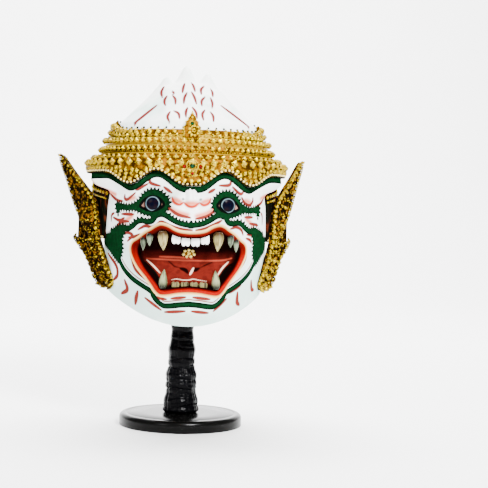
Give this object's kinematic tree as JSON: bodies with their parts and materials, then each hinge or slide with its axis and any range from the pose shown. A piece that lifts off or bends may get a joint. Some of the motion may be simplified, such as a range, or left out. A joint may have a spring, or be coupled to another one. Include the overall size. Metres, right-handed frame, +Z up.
{
  "type": "khon mask on a post",
  "caption": "Full-head khon dance mask of a white monkey warrior: hollow painted shell, open fanged mouth, gilt coronet and ear ornaments, standing on a black post with a round foot.",
  "frame": {"origin": "middle of the foot's underside", "axes": "+Z up along the post, the face looks towards -Y, +X to the viewer's right"},
  "size_m": [0.2807, 0.2479, 0.4079],
  "materials": {
    "white_lacquer": "glossy white lacquer on papier-mache, painted with green bands, pink strokes and a red mouth",
    "gilding": "gold leaf over moulded lac relief, dark in the hollows",
    "gilt_leather": "carved leather, gilded, dark in the cuts",
    "dark_leather": "dark brown varnished leather with a gilt edge",
    "eye_glass": "polished inlay, dark pupil in a grey-blue ring",
    "ivory_paint": "cream paint with fine length-wise streaks",
    "white_enamel": "bright white glossy paint",
    "red_gem": "cut glass",
    "green_gem": "cut glass",
    "black_wrap": "glossy crinkled black sheet wound round a post",
    "black_lacquer": "black lacquer"
  },
  "bodies": {
    "root": {"mask_shell": "white_lacquer", "coronet": "gilding", "ear_ornament_left": "gilt_leather", "ear_ornament_right": "gilt_leather", "side_panel_left": "dark_leather", "side_panel_right": "dark_leather", "eye_left": "eye_glass", "eye_right": "eye_glass", "upper_fang_left": "ivory_paint", "upper_fang_right": "ivory_paint", "lower_fang_left": "ivory_paint", "lower_fang_right": "ivory_paint", "side_tooth_left_1": "ivory_paint", "side_tooth_left_2": "ivory_paint", "side_tooth_right_1": "ivory_paint", "side_tooth_right_2": "ivory_paint", "upper_incisor_1": "white_enamel", "upper_incisor_2": "white_enamel", "upper_incisor_3": "white_enamel", "upper_incisor_4": "white_enamel", "lower_incisor_1": "ivory_paint", "lower_incisor_2": "ivory_paint", "lower_incisor_3": "ivory_paint", "lower_incisor_4": "ivory_paint", "spike_gem": "green_gem", "medallion_gem": "green_gem", "medallion_gem_left": "red_gem", "medallion_gem_right": "red_gem", "medallion_gem_top": "red_gem", "medallion_gem_bottom": "red_gem", "palate_flower": "gilding", "stand_post": "black_wrap", "stand_foot": "black_lacquer"}
  },
  "joints": []
}
